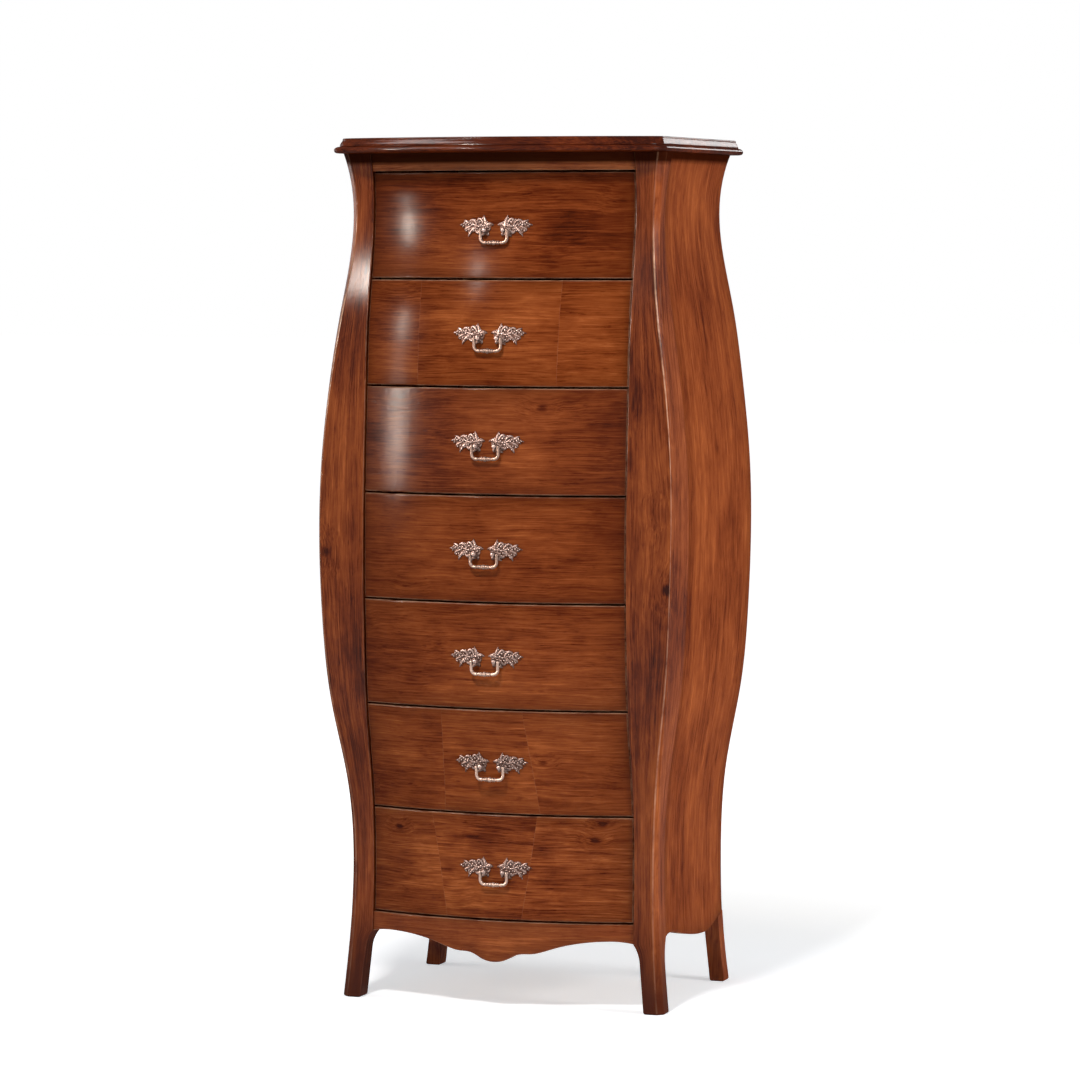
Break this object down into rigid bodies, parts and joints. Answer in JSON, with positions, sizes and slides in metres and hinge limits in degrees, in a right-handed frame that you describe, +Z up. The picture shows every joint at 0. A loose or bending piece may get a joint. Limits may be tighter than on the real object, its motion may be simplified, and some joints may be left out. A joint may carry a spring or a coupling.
{
  "type": "semainier",
  "caption": "Tall narrow bombe chest with one bowed drawer for each day of the week, splayed legs, shaped apron, and a leafy bail pull on each drawer.",
  "frame": {"origin": "on the floor under the middle of the whole object, pulls included", "axes": "+Z up, -Y the drawer fronts, +X the right side seen from the front"},
  "size_m": [0.547, 0.4249, 1.26],
  "materials": {
    "veneer": "satin lacquered walnut-stained veneer, fine open grain",
    "solid_wood": "satin lacquered walnut-stained solid wood",
    "inner_wood": "plain unfinished light wood",
    "back_board": "thin plywood, matte",
    "pewter": "antiqued cast metal, dark in the hollows and worn bright on the high parts",
    "screw_steel": "plain zinc-plated steel"
  },
  "bodies": {
    "carcase": {"top_board": "veneer", "top_moulding": "solid_wood", "right_side_panel": "veneer", "left_side_panel": "veneer", "front_right_post": "solid_wood", "front_left_post": "solid_wood", "rear_right_post": "solid_wood", "rear_left_post": "solid_wood", "back_panel": "back_board", "top_rail": "veneer", "front_apron": "veneer", "rear_rails": "inner_wood", "bottom_board": "inner_wood", "glue_blocks": "inner_wood", "right_runners": "inner_wood", "left_runners": "inner_wood", "top_screws": "screw_steel", "back_screws": "screw_steel"},
    "drawer_1": {"drawer_1_front": "veneer", "drawer_1_sides": "inner_wood", "drawer_1_back": "inner_wood", "drawer_1_bottom": "back_board", "drawer_1_pull_plates": "pewter"},
    "bail_1": {"drawer_1_bail": "pewter"},
    "drawer_2": {"drawer_2_front": "veneer", "drawer_2_sides": "inner_wood", "drawer_2_back": "inner_wood", "drawer_2_bottom": "back_board", "drawer_2_pull_plates": "pewter"},
    "bail_2": {"drawer_2_bail": "pewter"},
    "drawer_3": {"drawer_3_front": "veneer", "drawer_3_sides": "inner_wood", "drawer_3_back": "inner_wood", "drawer_3_bottom": "back_board", "drawer_3_pull_plates": "pewter"},
    "bail_3": {"drawer_3_bail": "pewter"},
    "drawer_4": {"drawer_4_front": "veneer", "drawer_4_sides": "inner_wood", "drawer_4_back": "inner_wood", "drawer_4_bottom": "back_board", "drawer_4_pull_plates": "pewter"},
    "bail_4": {"drawer_4_bail": "pewter"},
    "drawer_5": {"drawer_5_front": "veneer", "drawer_5_sides": "inner_wood", "drawer_5_back": "inner_wood", "drawer_5_bottom": "back_board", "drawer_5_pull_plates": "pewter"},
    "bail_5": {"drawer_5_bail": "pewter"},
    "drawer_6": {"drawer_6_front": "veneer", "drawer_6_sides": "inner_wood", "drawer_6_back": "inner_wood", "drawer_6_bottom": "back_board", "drawer_6_pull_plates": "pewter"},
    "bail_6": {"drawer_6_bail": "pewter"},
    "drawer_7": {"drawer_7_front": "veneer", "drawer_7_sides": "inner_wood", "drawer_7_back": "inner_wood", "drawer_7_bottom": "back_board", "drawer_7_pull_plates": "pewter"},
    "bail_7": {"drawer_7_bail": "pewter"}
  },
  "joints": [
    {"name": "drawer_1_slide", "type": "slide", "parent": "carcase", "child": "drawer_1", "axis": [0, -1, 0], "range_m": [0, 0.21]},
    {"name": "bail_1_swing", "type": "hinge", "parent": "drawer_1", "child": "bail_1", "pos_m": [0, -0.16654, 1.12671], "axis": [-1, 0, 0], "range_deg": [0, 150]},
    {"name": "drawer_2_slide", "type": "slide", "parent": "carcase", "child": "drawer_2", "axis": [0, -1, 0], "range_m": [0, 0.21]},
    {"name": "bail_2_swing", "type": "hinge", "parent": "drawer_2", "child": "bail_2", "pos_m": [0, -0.19274, 0.97214], "axis": [-1, 0, 0], "range_deg": [0, 150]},
    {"name": "drawer_3_slide", "type": "slide", "parent": "carcase", "child": "drawer_3", "axis": [0, -1, 0], "range_m": [0, 0.21]},
    {"name": "bail_3_swing", "type": "hinge", "parent": "drawer_3", "child": "bail_3", "pos_m": [0, -0.20277, 0.81757], "axis": [-1, 0, 0], "range_deg": [0, 150]},
    {"name": "drawer_4_slide", "type": "slide", "parent": "carcase", "child": "drawer_4", "axis": [0, -1, 0], "range_m": [0, 0.21]},
    {"name": "bail_4_swing", "type": "hinge", "parent": "drawer_4", "child": "bail_4", "pos_m": [0, -0.20893, 0.663], "axis": [-1, 0, 0], "range_deg": [0, 150]},
    {"name": "drawer_5_slide", "type": "slide", "parent": "carcase", "child": "drawer_5", "axis": [0, -1, 0], "range_m": [0, 0.21]},
    {"name": "bail_5_swing", "type": "hinge", "parent": "drawer_5", "child": "bail_5", "pos_m": [0, -0.20473, 0.50843], "axis": [-1, 0, 0], "range_deg": [0, 150]},
    {"name": "drawer_6_slide", "type": "slide", "parent": "carcase", "child": "drawer_6", "axis": [0, -1, 0], "range_m": [0, 0.21]},
    {"name": "bail_6_swing", "type": "hinge", "parent": "drawer_6", "child": "bail_6", "pos_m": [0, -0.18371, 0.35386], "axis": [-1, 0, 0], "range_deg": [0, 150]},
    {"name": "drawer_7_slide", "type": "slide", "parent": "carcase", "child": "drawer_7", "axis": [0, -1, 0], "range_m": [0, 0.21]},
    {"name": "bail_7_swing", "type": "hinge", "parent": "drawer_7", "child": "bail_7", "pos_m": [0, -0.16941, 0.19929], "axis": [-1, 0, 0], "range_deg": [0, 150]}
  ]
}
